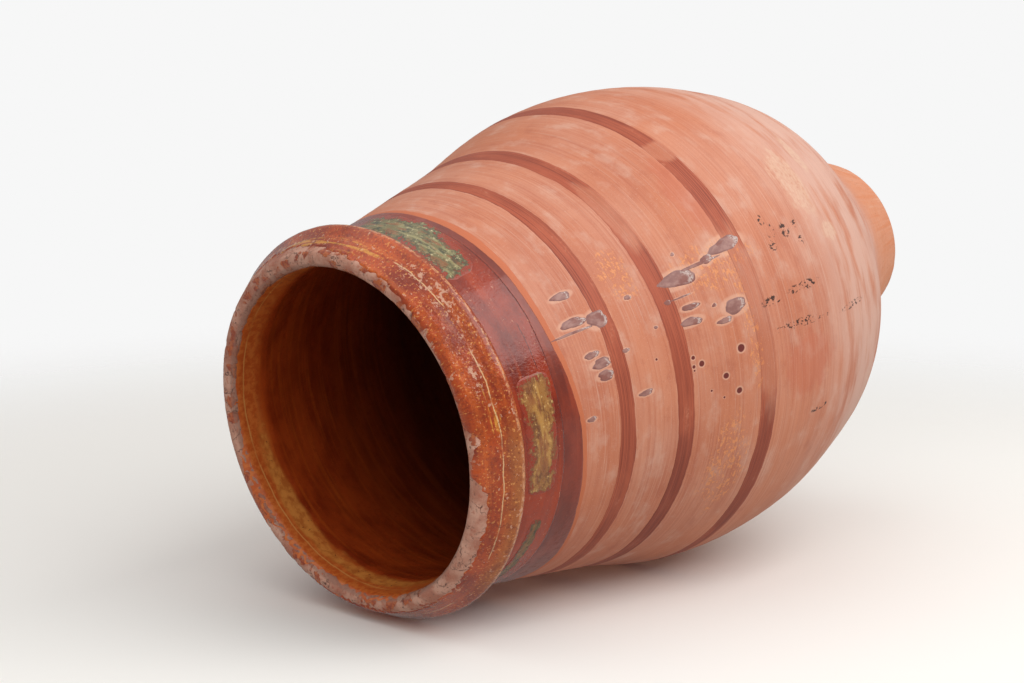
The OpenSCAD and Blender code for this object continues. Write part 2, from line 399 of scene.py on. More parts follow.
class Shader(Nodes):
    """Short calls that build one material of the jar. Sizes are in mm, and angles in degrees.

    The material's colour is built up in layers, and colour holds the result so far.
    """

    def __init__(self, name):
        self.material = bpy.data.materials.new(name)
        self.colour = None
        super().__init__(self.material)
        self.place = self.add("TexCoord").outputs["Object"]
        parts = self.add("SeparateXYZ")
        self.feed(parts.inputs[0], self.place)
        back = self.math("MULTIPLY", parts.outputs["Y"], -1)
        self.turn = self.math("ARCTAN2", parts.outputs["X"], back)
        self.angle = self.math("MULTIPLY", self.turn, 180 / math.pi)
        self.z = self.math("MULTIPLY", parts.outputs["Z"], 1000)
        radius = self.math("SQRT", self.math("ADD", self.math("MULTIPLY", back, back),
                                             self.math("MULTIPLY", parts.outputs["X"], parts.outputs["X"])))
        self.radius = self.math("MULTIPLY", radius, 1000)
        self.unrolled = self.vector(self.math("MULTIPLY", self.turn, UNROLL_R * 1000), self.z, 0)
        self.wrapped = self.vector(self.math("MULTIPLY", self.math("SINE", self.turn), UNROLL_R * 1000),
                                   self.math("MULTIPLY", self.math("COSINE", self.turn), UNROLL_R * 1000),
                                   self.z)

    def vector(self, *values):
        return self.fed(self.add("CombineXYZ"), *values)

    def scaled(self, place, scale, shift):
        """A place multiplied and moved, axis by axis."""
        node = self.add("Mapping")
        self.feed(node.inputs["Vector"], place)
        node.inputs["Scale"].default_value = scale
        node.inputs["Location"].default_value = shift
        return node.outputs[0]

    def noise(self, around, up, seed=0, detail=3.0, rough=0.55, bend=0.0):
        """Noise on the jar's skin, with lumps this long round the jar and this long up it."""
        scale = (1 / around, 1 / around, 1 / up)
        place = self.scaled(self.wrapped, scale, (seed * 7.3, seed * 3.1, seed * 5.7))
        return self.noise_of(place, detail, rough, bend)

    def grain(self, size, seed=0, detail=3.0):
        """Noise through the clay itself, the same in every direction."""
        return self.noise_of(self.scaled(self.place, (1000 / size,) * 3, (seed * 4.9,) * 3), detail)

    def mix(self, factor, first, second):
        node = self.add("Mix", data_type="RGBA")
        self.feed(node.inputs[0], factor)
        self.feed(node.inputs[6], first)
        self.feed(node.inputs[7], second)
        return node.outputs[2]

    def cover(self, top, *factors):
        """Covers the colour so far with another one, as far as the product of the factors says."""
        self.colour = self.mix(self.product(*factors), self.colour, top)

    def product(self, *values):
        return reduce(partial(self.math, "MULTIPLY"), values)

    def total(self, *values):
        return reduce(partial(self.math, "ADD"), values)

    def either(self, *values):
        return reduce(partial(self.math, "MAXIMUM"), values)

    def stored(self, name):
        """A value that the mesh keeps at its points."""
        return self.add("Attribute", attribute_name=name).outputs["Fac"]

    def distance(self, angle, height, half_angle, half_height):
        """Distance from the middle of an oval on the skin, which is 1 at the oval's edge."""
        half_width = math.radians(half_angle) * UNROLL_R * 1000
        middle = math.radians(angle) * UNROLL_R * 1000
        scale = (1 / half_width, 1 / half_height, 0)
        shift = (-middle / half_width, -height / half_height, 0)
        node = self.add("VectorMath", operation="LENGTH")
        self.feed(node.inputs[0], self.scaled(self.unrolled, scale, shift))
        return node.outputs["Value"]

    def nearest(self, places):
        """Distance from the nearest of several ovals' middles, which is 1 at its edge."""
        return reduce(partial(self.math, "MINIMUM"), [self.distance(*place) for place in places])

    def zones(self, places, ragged, uneven=0.5):
        """1 inside any of the ovals, with ragged edges where the noise is uneven."""
        shifted = self.math("MULTIPLY_ADD", ragged, uneven, self.nearest(places))
        return self.step(shifted, 1.1 + uneven / 2, 0.7 + uneven / 2)

    def side(self, middle, full, end):
        """1 within the first number of degrees of one side of the jar, and 0 beyond the second."""
        return self.step(self.math("ABSOLUTE", self.math("SUBTRACT", self.angle, middle)), end, full)

    def from_ends(self, share):
        """The distance from the nearer of two ends, of a share that goes from 0 to 1 between them."""
        return self.math("MINIMUM", share, self.math("SUBTRACT", 1.0, share))

    def sway(self, noise, size):
        """Noise turned into a wander of this size, half of it to each side."""
        return self.product(self.math("SUBTRACT", noise, 0.5), size)

    def line(self, height, half_width, wander):
        """1 along a thin line round the jar that wanders with the noise."""
        off = self.math("ABSOLUTE", self.math("SUBTRACT", self.total(self.z, wander), height))
        return self.step(off, half_width * 1.3, half_width * 0.5)

    def finish(self, roughness, height, depth, **fixed):
        """Connects the surface. Depth is the bump's depth in mm; the rest are fixed shader values."""
        surface = self.tree.nodes["Principled BSDF"]
        bump = self.add("Bump")
        bump.inputs["Distance"].default_value = depth * MM
        self.feed(bump.inputs["Height"], height)
        self.feed(surface.inputs["Base Color"], self.colour)
        self.feed(surface.inputs["Roughness"], roughness)
        self.feed(surface.inputs["Normal"], bump.outputs["Normal"])
        for name, value in fixed.items():
            surface.inputs[name.replace("_", " ")].default_value = value
        return self.material


SALMON = (200, 124, 93)
PALE_SALMON = (208, 140, 112)
DEEP_SALMON = (178, 97, 70)
ORANGE_CLAY = (214, 124, 76)
DUST = (218, 176, 156)
SLIP_RED = (176, 88, 62)
SLIP_DARK = (138, 66, 48)
SOOT = (44, 28, 26)

# Marks on the skin: angle, height, half angle and half height.
FLECK_RUNS = [(12, 279, 1.2, 9), (5, 262, 1.0, 21), (4, 240, 0.45, 18), (12.5, 246, 1.1, 17),
              (24, 262, 2.4, 4), (27, 257, 2.0, 3), (30, 261, 1.5, 3), (26, 245, 2.2, 5),
              (22.5, 233, 1.2, 3), (27, 233, 1.6, 3), (3, 192, 0.8, 20), (-18, 237, 0.7, 12)]
FLAKE_ZONES = [(32, 378, 8, 13), (25, 312, 6, 33), (-26, 318, 15, 16), (8, 300, 16, 6)]
RED_ZONES = [(-5, 252, 8, 28), (44, 300, 12, 14)]
CREAM_ZONES = [(37, 210, 10, 15), (22, 196, 3, 10), (44, 178, 7, 6)]
PITS = [(angle, height, size, 2.6 * size) for angle, height, size in
        ((-6, 315, 0.9), (-1.5, 324, 0.8), (-6.8, 326, 0.35), (3.2, 340, 0.8), (3, 346, 0.5),
         (5.3, 345.5, 0.6), (-4.3, 335, 0.35), (4, 311, 1.0), (2, 346, 0.3), (8, 372, 0.4),
         (10, 350, 0.35))]

# Stray drops and runs of glaze: angle, height, half width and half length in mm.
UPPER_DROPS = [(33, 419, 2.6, 7), (25, 420, 3.2, 8.5), (15, 416, 2.2, 5), (-2, 425, 1.6, 3.4),
               (12, 411, 3.0, 7), (8.6, 410, 3.0, 6), (23.5, 403, 5.4, 7.5), (22.5, 424, 0.9, 15),
               (13, 392, 1.4, 2.6), (0.5, 384, 1.9, 5)]
LONG_DROP = [(25, 340, 4.8, 14), (26.3, 322, 1.2, 14), (26.6, 315, 3.0, 4), (28, 298, 4.6, 13)]
LOWER_DROPS = [(14, 341, 2.6, 8), (17.5, 338, 2.1, 6), (11.5, 318, 2.0, 5), (15.8, 322, 1.1, 1.6),
               (14, 308, 4.4, 8.5), (20.5, 352, 1.6, 3), (25.6, 377, 1.4, 2.6), (15.8, 366, 1.0, 1.4),
               (20.5, 343, 0.6, 8), (31, 334, 1.2, 1.2)]
HALOS = [(angle, height, math.degrees(width / 0.135) * MM, length)
         for angle, height, width, length in UPPER_DROPS + LONG_DROP + LOWER_DROPS]


def clay_skin(s, pale=PALE_SALMON, middle=SALMON, deep=DEEP_SALMON):
    """Smoothed clay: cloudy colour, wheel lines and fine pores. Gives its roughness and height."""
    cloud = s.noise(70, 48, seed=1, detail=4)
    lines = s.noise(110, 1.2, seed=2, detail=3)
    broad_lines = s.noise(150, 9, seed=3, detail=3)
    smudge = s.noise(22, 14, seed=5, detail=5, rough=0.6)
    pores = s.grain(0.9, seed=4)
    s.colour = s.mix(s.step(cloud, 0.36, 0.66), middle, pale)
    s.cover(deep, s.step(broad_lines, 0.45, 0.75), 0.4)
    s.cover(deep, s.step(lines, 0.42, 0.68), 0.4)
    scrapes = s.noise(60, 0.7, seed=23, detail=2)
    s.cover(DUST, s.step(scrapes, 0.58, 0.7), 0.35)
    tint = s.step(s.noise(90, 70, seed=24, detail=3), 0.4, 0.62)
    s.cover((214, 128, 84), tint, 0.3)
    s.cover(DUST, s.step(smudge, 0.5, 0.72), 0.4)
    s.cover(deep, s.step(smudge, 0.44, 0.3), 0.35)
    s.cover(DUST, s.step(pores, 0.62, 0.7), 0.3)
    s.cover(deep, s.step(pores, 0.36, 0.28), 0.35)
    roughness = s.math("MULTIPLY_ADD", cloud, 0.16, 0.48)
    height = s.total(s.product(lines, 0.45), s.product(pores, 0.35), s.product(broad_lines, 0.3))
    return roughness, height


def body_clay():
    """The upper body, with flaked orange patches, soot flecks and small firing pits."""
    s = Shader("body_clay")
    roughness, height = clay_skin(s)
    crumbs = s.noise(3.2, 2.2, seed=6, detail=4, rough=0.7)
    blots = s.noise(2.0, 3.0, seed=8, detail=3, rough=0.6)
    rough_edge = s.noise(9, 7, seed=7, detail=4)
    dusty = s.product(s.step(s.z, 262, 170), s.step(s.noise(50, 12, seed=10, detail=4), 0.3, 0.58), 0.75)
    s.cover((224, 182, 164), dusty)
    s.cover((198, 104, 74), s.zones(RED_ZONES, rough_edge, 1.2), 0.4)
    s.cover((226, 188, 160), s.zones(CREAM_ZONES, rough_edge, 1.4), s.step(crumbs, 0.3, 0.6), 0.6)
    flakes = s.product(s.zones(FLAKE_ZONES, rough_edge, 1.2), s.step(crumbs, 0.52, 0.57))
    stray = s.product(s.step(s.noise(26, 18, seed=9), 0.6, 0.75), s.step(crumbs, 0.58, 0.66), 0.5)
    flakes = s.either(flakes, stray)
    s.cover((232, 152, 98), flakes, 0.75)
    halo = s.step(s.nearest(HALOS), 1.55, 1.15)
    s.cover((228, 178, 152), halo, 0.5)
    soot = s.product(s.zones(FLECK_RUNS, rough_edge, 1.0), s.step(blots, 0.535, 0.575))
    s.cover(SOOT, soot, 0.92)
    pit = s.math("MULTIPLY_ADD", rough_edge, 0.5, s.nearest(PITS))
    s.cover((226, 176, 150), s.step(pit, 1.75, 1.3), 0.6)
    s.cover((112, 46, 40), s.step(pit, 1.25, 1.0))
    lost = s.total(s.product(flakes, 0.25), s.product(s.step(pit, 1.4, 0.9), 0.5))
    height = s.math("SUBTRACT", height, lost)
    return s.finish(roughness, height, 0.3, Specular_IOR_Level=0.35)


def bare_clay():
    """The lower wall and foot: a paler, dusty skin, with orange runs where the slurry has rubbed off."""
    s = Shader("bare_clay")
    roughness, height = clay_skin(s, (224, 168, 146), (216, 152, 128), (202, 130, 104))
    dusty = s.product(s.step(s.noise(50, 12, seed=10, detail=4), 0.34, 0.6), s.step(s.z, 50, 90), 0.65)
    s.cover((224, 184, 168), dusty)
    runs = s.noise(7, 60, seed=12, detail=4, rough=0.6)
    low = s.step(s.z, 85, 35)
    s.cover((222, 146, 104), low, 0.6)
    s.cover(ORANGE_CLAY, low, s.step(runs, 0.45, 0.7), 0.5)
    s.cover((232, 176, 144), low, s.step(runs, 0.42, 0.3), 0.4)
    crumbs = s.noise(3, 3, seed=13, detail=4, rough=0.7)
    s.cover(DUST, s.step(crumbs, 0.6, 0.7), 0.4)
    grit = s.grain(2.2, seed=14, detail=4)
    s.cover((150, 84, 60), s.step(grit, 0.64, 0.7), low, 0.4)
    height = s.total(height, s.product(grit, low, 0.7), s.product(runs, low, 0.3))
    roughness = s.math("MULTIPLY_ADD", low, 0.15, roughness)
    return s.finish(roughness, height, 0.4, Specular_IOR_Level=0.3)


def worn_clay():
    """The rim where its glaze has worn off: pinkish clay with cracks, dirt and islands of glaze."""
    s = Shader("worn_clay")
    cloud = s.grain(14, seed=15, detail=4)
    patch = s.grain(9, seed=18, detail=4)
    crumbs = s.grain(2.4, seed=16, detail=5)
    fine = s.grain(0.8, seed=17)
    s.colour = s.mix(s.step(cloud, 0.36, 0.64), (176, 114, 92), (206, 156, 134))
    s.cover((166, 84, 56), s.step(crumbs, 0.56, 0.68), 0.5)
    s.cover((120, 80, 66), s.step(crumbs, 0.42, 0.3), 0.6)
    s.cover((224, 192, 172), s.step(fine, 0.6, 0.72), 0.35)
    vein = s.math("ABSOLUTE", s.math("SUBTRACT", s.grain(11, seed=19, detail=5), 0.5))
    crack = s.product(s.step(vein, 0.012, 0.004), s.step(cloud, 0.46, 0.56))
    s.cover((84, 44, 34), crack, 0.8)
    pale_side = s.side(-32, 22, 34)
    island = s.step(s.math("MULTIPLY_ADD", pale_side, -0.16, patch), 0.53, 0.56)
    s.cover(s.mix(s.step(crumbs, 0.4, 0.6), (150, 60, 32), (184, 96, 50)), island, 0.9)
    s.cover((150, 112, 96), s.step(s.radius, 107.2, 105.6), s.step(s.z, 500, 503), 0.6)
    inside = s.step(s.z, 503, 499)
    s.cover((170, 84, 36), inside)
    roughness = s.math("MULTIPLY_ADD", island, -0.36, 0.62)
    relief = s.total(s.product(crumbs, 0.7), s.product(fine, 0.4), s.product(island, 0.5))
    height = s.math("SUBTRACT", relief, s.product(crack, 0.8))
    return s.finish(roughness, height, 0.5, Specular_IOR_Level=0.4)


def red_slip():
    """Thin red slip brushed on while the jar turned, so that it is combed and worn through in places."""
    s = Shader("red_slip")
    roughness, height = clay_skin(s)
    clay = s.colour
    comb = s.noise(150, 0.75, seed=20, detail=3, rough=0.6)
    cloud = s.noise(34, 10, seed=21, detail=4)
    crumbs = s.noise(3.2, 2.4, seed=22, detail=4, rough=0.7)
    across = s.stored("across")
    s.colour = s.mix(s.step(comb, 0.36, 0.62), SLIP_DARK, SLIP_RED)
    s.cover((192, 102, 72), s.step(cloud, 0.4, 0.68), 0.4)
    edge = s.either(s.step(across, 0.12, 0.05), s.step(across, 0.88, 0.95))
    s.cover(SLIP_DARK, edge, 0.45)
    faded = s.zones([(10, 292, 24, 16), (56, 290, 4, 14), (48, 353, 13, 9)], cloud, 1.2)
    rubbed = s.product(s.step(cloud, 0.58, 0.72), s.step(crumbs, 0.48, 0.6), 0.6)
    worn = s.either(s.product(faded, 0.7), rubbed)
    s.cover(clay, worn)
    s.cover((222, 138, 86), s.zones(FLAKE_ZONES, cloud, 1.2), s.step(crumbs, 0.54, 0.6), 0.7)
    s.cover((204, 116, 78), s.step(s.z, 412, 418), 0.85)
    s.cover((128, 60, 46), s.zones([(-35, 353, 26, 12), (-32, 291, 22, 12)], cloud, 1.0), 0.4)
    s.cover(SOOT, s.zones(FLECK_RUNS, cloud, 1.0), s.step(s.noise(2.0, 3.0, seed=8), 0.535, 0.575), 0.9)
    height = s.total(height, s.product(comb, 0.6))
    return s.finish(roughness, height, 0.3, Specular_IOR_Level=0.3)


def glaze(name, thin, middle, thick, gloss=0.2, stain=None, seed=30, depth=0.35):
    """A lead glaze that is darker where it pools, with streaks down the pull of the wheel."""
    s = Shader(name)
    cloud = s.noise(38, 16, seed=seed, detail=5, rough=0.6)
    streak = s.noise(120, 4.5, seed=seed + 1, detail=3)
    mottle = s.noise(5, 4, seed=seed + 2, detail=4, rough=0.65)
    speck = s.noise(1.5, 1.5, seed=seed + 3, detail=2)
    dimple = s.noise(2.0, 1.8, seed=seed + 4, detail=3)
    s.colour = s.mix(s.step(cloud, 0.34, 0.66), thick, middle)
    s.cover(thin, s.step(streak, 0.46, 0.72), 0.5)
    s.cover(thick, s.step(mottle, 0.54, 0.7), 0.4)
    s.cover(thin, s.step(speck, 0.66, 0.74), 0.5)
    roughness = s.math("MULTIPLY_ADD", s.step(mottle, 0.45, 0.75), 0.2, gloss)
    if stain:
        roughness = stain(s, roughness, mottle)
    height = s.total(s.product(cloud, 0.6), s.product(mottle, 0.35), s.product(dimple, 0.6))
    return s.finish(roughness, height, depth, Coat_Weight=0.3, Coat_Roughness=0.08, IOR=1.42)


def interior_stain(s, roughness, mottle):
    """The ochre band just inside the mouth, soft rings, and painted shade that darkens the glaze deeper
    inside the jar.
    """
    rings = s.noise(160, 16, seed=34, detail=2)
    s.cover((170, 70, 24), s.step(rings, 0.45, 0.7), 0.4)
    patchy = s.step(s.noise(60, 12, seed=35, detail=4), 0.3, 0.52)
    wander = s.sway(s.noise(26, 26, seed=33), 8)
    level = s.total(s.z, wander)
    band = s.product(s.step(level, 483, 488), s.step(level, 498, 495), patchy)
    tail = s.product(band, s.zones([(-122, 490, 56, 9)], mottle, 0.8))
    s.cover(s.mix(s.step(mottle, 0.4, 0.62), (196, 92, 38), (216, 120, 54)), s.step(level, 484, 492), 0.8)
    tan = s.mix(s.step(s.noise(9, 5, seed=31, detail=5), 0.36, 0.6), (182, 102, 44), (214, 140, 66))
    s.cover(tan, tail, 0.9)
    s.cover((120, 60, 30), tail, s.step(s.noise(2.6, 2.6, seed=32), 0.64, 0.7))
    s.cover((214, 150, 84), s.line(499.5, 0.5, s.product(wander, 0.3)), patchy, 0.8)
    # painted shade: the glaze turns darker deeper inside the jar, where little light reaches; it is also
    # made rougher there
    deep = s.step(s.z, 465, 300)
    roughness = s.math("MULTIPLY_ADD", deep, 0.3, roughness)
    s.cover((58, 20, 10), deep, 0.75)
    return roughness


def rim_stain(s, roughness, mottle):
    """Yellow runs, a pale crack, a painted highlight along the ridge, and the clay that shows through the
    worn glaze.
    """
    wander = s.sway(s.noise(30, 30, seed=36), 5)
    amber = s.product(s.step(s.z, 502, 491), s.side(-22, 20, 34))
    s.cover((172, 104, 50), amber, 0.7)
    runs = s.step(s.noise(40, 2.2, seed=44, detail=3), 0.5, 0.58)
    ochre = s.zones([(12, 501, 8, 4), (90, 503, 24, 5), (-120, 502, 34, 4), (165, 502, 16, 4)], mottle, 1.4)
    s.cover((218, 152, 60), ochre, runs, 0.8)
    crack = s.line(499.5, 0.35, wander)
    s.cover((228, 190, 140), crack, s.step(s.noise(50, 50, seed=38), 0.48, 0.54), 0.8)
    # painted highlight: a pale line along the lower edge of the ridge
    edge = s.product(s.line(489.2, 1.0, s.product(mottle, 1.2)), s.step(mottle, 0.42, 0.56))
    s.cover((216, 156, 112), edge, 0.7)
    freckle = s.noise(1.7, 1.5, seed=45, detail=2)
    s.cover((232, 160, 84), s.step(freckle, 0.6, 0.68), 0.6)
    s.cover((106, 36, 14), s.step(freckle, 0.4, 0.32), 0.6)
    clots = s.step(s.noise(9, 5, seed=48, detail=5, rough=0.7), 0.53, 0.62)
    s.cover((122, 40, 14), clots, 0.45)
    chipped = s.zones([(50, 498, 13, 6), (20, 504, 6, 3), (-100, 500, 20, 5), (130, 500, 22, 6)],
                      mottle, 1.4)
    chips = s.step(s.noise(6, 3.5, seed=39, detail=4, rough=0.7), 0.53, 0.57)
    scattered = s.product(s.step(s.noise(5, 3, seed=43, detail=3), 0.64, 0.68), 0.7)
    bare = s.either(s.product(chips, chipped, 0.85), scattered)
    roughness = s.math("MULTIPLY_ADD", bare, 0.35, roughness)
    s.cover((210, 160, 132), bare)
    return roughness


def collar_stain(s, roughness, mottle):
    """The dark line where the second dip of glaze ends, a brighter red side and a few scratches."""
    bright = s.side(-45, 20, 45)
    s.cover((176, 66, 30), bright, 0.5)
    end = s.line(447.5, 0.9, s.product(s.noise(40, 40, seed=40), 1.2))
    s.cover((84, 34, 28), end, 0.7)
    s.cover((90, 26, 18), s.line(456, 0.35, s.product(mottle, 1.4)), s.side(24, 6, 8))
    scuff = s.product(s.step(s.noise(4, 2.2, seed=41, detail=4, rough=0.7), 0.63, 0.69), 0.5)
    roughness = s.math("MULTIPLY_ADD", scuff, 0.4, roughness)
    s.cover((206, 146, 112), scuff)
    return roughness


def splash(name, dark, middle, light, cream, start, end, seed):
    """Metal-oxide glaze that broke into streaks: dark at its edge and cream where it is thin."""
    s = Shader(name)
    cloud = s.noise(12, 6, seed=seed, detail=5, rough=0.65, bend=0.6)
    streak = s.noise(30, 2.4, seed=seed + 1, detail=4)
    crumbs = s.noise(3, 2, seed=seed + 2, detail=4, rough=0.7)
    s.colour = s.mix(s.step(cloud, 0.38, 0.56), dark, middle)
    s.cover(light, s.step(streak, 0.48, 0.62), 0.8)
    s.cover(cream, s.step(crumbs, 0.58, 0.68), 0.85)
    warm = s.step(s.noise(16, 3.2, seed=seed + 3, detail=4), 0.5, 0.6)
    s.cover((146, 84, 42), warm, 0.7)
    across = s.stored("across")
    along = s.math("DIVIDE", s.math("SUBTRACT", s.angle, start), end - start)
    inset = s.math("MINIMUM", s.from_ends(across), s.product(s.from_ends(along), 3.0))
    wavy = s.total(inset, s.sway(crumbs, 0.8), s.sway(cloud, 1.0))
    s.cover(dark, s.step(wavy, 0.34, 0.16), 0.7)
    s.cover((150, 50, 20), s.step(wavy, 0.17, 0.1))
    roughness = s.math("MULTIPLY_ADD", crumbs, 0.4, 0.1)
    height = s.total(s.product(cloud, 0.6), s.product(crumbs, 0.5))
    return s.finish(roughness, height, 0.35, Coat_Weight=0.25, Coat_Roughness=0.15)


def mauve_glaze():
    """Stray glaze drops: mauve in the middle, ringed, with a painted highlight, a whitish glint, towards
    the lower end.
    """
    s = Shader("mauve_glaze")
    cloud = s.noise(4, 6, seed=50, detail=4)
    fine = s.noise(1.2, 1.2, seed=51)
    reach = s.total(s.stored("reach"), s.sway(cloud, 0.3))
    rise = s.stored("rise")
    red = s.step(s.noise(9, 14, seed=53), 0.5, 0.6)
    s.colour = s.mix(s.step(cloud, 0.35, 0.62), (142, 96, 88), (166, 122, 112))
    s.cover((132, 70, 58), red, 0.7)
    ring = s.product(s.step(reach, 0.7, 0.86), s.step(reach, 1.02, 0.94))
    s.cover((118, 76, 72), ring, 0.4)
    # painted highlight: a whitish glint crescent near the lower end of each drop
    painted_glint = s.product(s.step(rise, -0.2, -0.6), s.step(reach, 0.55, 0.7), s.step(reach, 0.95, 0.86),
                     s.step(fine, 0.4, 0.55))
    s.cover((208, 190, 182), painted_glint, 0.75)
    height = s.total(cloud, s.product(fine, 0.3))
    return s.finish(0.46, height, 0.2, Specular_IOR_Level=0.4)


# ---------------------------------------------------------------- pieces


def make_foot(material):
    """The flat foot: a solid disc with a worn edge and a string-cut underside."""
    turn = turns(TURN_STEPS)
    edge = smooth_line(np.array([0.0]), outer_knots[:, 0], outer_knots[:, 1])[0]
    soft = 2.2 * MM
    under = np.stack([np.linspace(0, edge - soft, 30), np.zeros(30)], axis=-1)
    corner = arc(edge - soft, soft, soft, -90, 0, 7)[1:]
    outline = np.concatenate([under, corner])
    radius = outline[:, :1] * np.ones_like(turn)
    height = outline[:, 1:] * np.ones_like(turn)
    where = cylinder_points(turn, radius, height)
    arcs = np.sin(np.hypot(where[..., 0] - 0.03, where[..., 1]) / (3 * MM) * np.pi)
    inside = np.clip((edge - 5 * MM - radius) / (8 * MM), 0, 1)
    height = height + inside * (0.7 * MM + 0.15 * MM * arcs)
    chips = np.clip(noise(where, 7 * MM, 61) - 0.3, 0, 1) * (radius > edge - 3 * MM)
    radius = radius - 1.2 * MM * chips
    side = np.linspace(soft + MM, FLOOR_TOP, 8)[:, None]
    scuffs = 0.3 * MM * noise(cylinder_points(turn, edge, side), 6 * MM, 62)
    side_radius = outer_radius(turn, side) + scuffs * (1 - np.clip(side / FLOOR_TOP, 0, 1))
    top = np.zeros((1, len(turn)))
    radius = np.concatenate([radius, side_radius, top])
    height = np.concatenate([height, np.broadcast_to(side, side_radius.shape), top + FLOOR_TOP])
    mesh = ring_solid("foot_base", turn, radius, height)
    merge_poles(mesh)
    show("foot_base", mesh, material)


def make_wall(name, material):
    """One thrown ring of the wall."""
    low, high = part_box(name)[0].z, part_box(name)[1].z
    turn = turns(TURN_STEPS)
    outside = np.linspace(low, high, int((high - low) / WALL_ROW) + 1)[:, None]
    inside = np.linspace(high, low, int((high - low) / (6 * MM)) + 1)[:, None]
    radius = np.concatenate([outer_radius(turn, outside), inner_radius(turn, inside)])
    height = np.broadcast_to(np.concatenate([outside, inside]), radius.shape)
    show(name, ring_solid(name, turn, radius, height), material)


def make_rim(material):
    """The rolled rim with its chipped and pitted crest."""
    turn = turns(RIM_STEPS)
    share = np.linspace(0, 1, 82)[:, None]
    radius, height = on_rim(turn, np.broadcast_to(share, (82, RIM_STEPS)), 0.0)
    show("rim", ring_solid("rim", turn, radius, height), material)


def make_interior(material):
    """Glaze over the whole inside, from the floor to the uneven line where it stops under the crest."""
    turn = turns(INSIDE_STEPS)
    floor = FLOOR_TOP + GLAZE
    pool = 14 * MM
    corner_r = float(inner_radius(0.0, np.array(floor + pool))) - GLAZE
    flat = np.linspace(0, corner_r - pool, 10)[:, None]
    bend = arc(corner_r - pool, floor + pool, pool, -90, 0, 9)[1:]
    rise = np.arange(floor + pool + 2 * MM, WALL_TOP, 4.2 * MM)[:, None]
    hidden_rise = rise[::-5]
    bottom_r = np.broadcast_to(np.concatenate([flat, bend[:, :1]]), (len(flat) + len(bend), len(turn)))
    bottom_z = np.concatenate([np.full_like(flat, floor), bend[:, 1:]])
    wall_front = inner_radius(turn, rise) - GLAZE
    share = np.linspace(0, 1, 9)[:, None]
    reach = np.interp(np.degrees(turn), [-180, -150, -80, -62, 100, 150, 180],
                      [0.05, 0.1, 0.1, 0, 0, 0.03, 0.05])
    stop = MOUTH_S + 0.03 - reach + (0.01 + 0.35 * reach) * ragged(turn, 71, 1.0, 0.7)
    mouth_s = 1 - (1 - stop) * share
    mouth_front = on_rim(turn, mouth_s, GLAZE * np.sqrt(1 - share) - 0.05 * MM, worn=False)
    mouth_back = on_rim(turn, mouth_s[::-1], -BURIED, worn=False)
    wall_back = inner_radius(turn, hidden_rise) + 0.2 * MM
    under = np.broadcast_to(np.array([[corner_r - 4 * MM], [0.0]]), (2, len(turn)))
    radius = np.concatenate([bottom_r, wall_front, mouth_front[0], mouth_back[0], wall_back, under])
    column = np.concatenate([bottom_z, rise])
    height = np.concatenate([np.broadcast_to(column, (len(column), len(turn))),
                             mouth_front[1], mouth_back[1],
                             np.broadcast_to(hidden_rise, wall_back.shape),
                             np.full((2, len(turn)), FLOOR_TOP - 0.2 * MM)])
    mesh = ring_solid("interior_glaze", turn, radius[::-1], height[::-1])
    merge_poles(mesh)
    show("interior_glaze", mesh, material)


# How far the clay is bare below the crest, from 0 to 1, at angles round the jar.
BARE_CREST = [(-180, 0.7), (-130, 0.5), (-95, 0.35), (-65, 0.55), (-45, 0.68), (-20, 0.62), (-12, 0.5),
              (-7, 0.1), (-2, 0.1), (4, 0.55), (9, 0.2), (20, 0.25), (45, 0.3), (75, 0.6), (100, 0.85),
              (130, 1.0), (180, 0.7)]


def make_rim_glaze(material):
    """Glaze over the ridge and the rim's slope, worn back from the crest more on one side."""
    turn = turns(RIM_STEPS)
    degrees = np.degrees(turn)
    bare = np.interp(degrees, *zip(*BARE_CREST))
    high = CREST_S - 0.25 * bare + 0.06 + 0.025 * ragged(turn, 81, 1.0, 0.8)
    low = np.full_like(high, 0.02)
    mesh = coat_solid("rim_glaze", turn, on_rim, low, high, even_coat(0.55 * GLAZE), 0.04, rows=40)
    show("rim_glaze", mesh, material)


def make_collar_glaze(material):
    """The red-brown collar, whose second dip ends in a thick bead."""
    turn = turns(TURN_STEPS)
    low = 446 * MM + ragged(turn, 91, 0.5 * MM, 0.2 * MM)
    high = np.full_like(low, WALL_TOP + 0.6 * MM)

    def lift(share, turn):
        bead = np.exp(-(((share - 0.06) / 0.05) ** 2))
        dimple = noise(cylinder_points(turn, 0.12, share * 0.04), 7 * MM, 93)
        return GLAZE * (0.8 + 0.25 * bead + 0.08 * dimple)

    mesh = coat_solid("collar_glaze", turn, on_wall, low, high, lift, 0.04, rows=40)
    show("collar_glaze", mesh, material)


def maroon_edge(turn):
    """Height of the wavy lower edge of the maroon band."""
    drift = np.interp(np.degrees(turn), [-180, -110, -65, -50, -30, 0, 20, 40, 80, 120, 180],
                      [430, 427, 423, 423, 429, 433, 439, 441, 441, 436, 430])
    return drift * MM + ragged(turn, 95, 0.5 * MM, 0.15 * MM)


def make_maroon_band(material):
    """The first dip of glaze, which shows as a dark band under the collar."""
    turn = turns(TURN_STEPS)
    high = np.full_like(turn, 449 * MM)
    mesh = coat_solid("glaze_edge_band", turn, on_wall, maroon_edge(turn), high,
                      even_coat(0.35 * GLAZE), 0.08, rows=20)
    show("glaze_edge_band", mesh, material)


def make_slip_line(material):
    """A translucent strip of slip that shows below the maroon band, and wider on the +X side."""
    turn = turns(TURN_STEPS)
    wider = np.clip(1 - np.abs(np.degrees(turn) - 62) / 50, 0, 1)
    high = maroon_edge(turn) + 2 * MM
    low = maroon_edge(turn) - (3 + 4 * wider) * MM + ragged(turn, 101, 0.5 * MM, 0.2 * MM)
    mesh = coat_solid("slip_line", turn, on_wall, low, high, even_coat(0.2 * SLIP), 0.2, rows=12)
    show("slip_line", mesh, material)


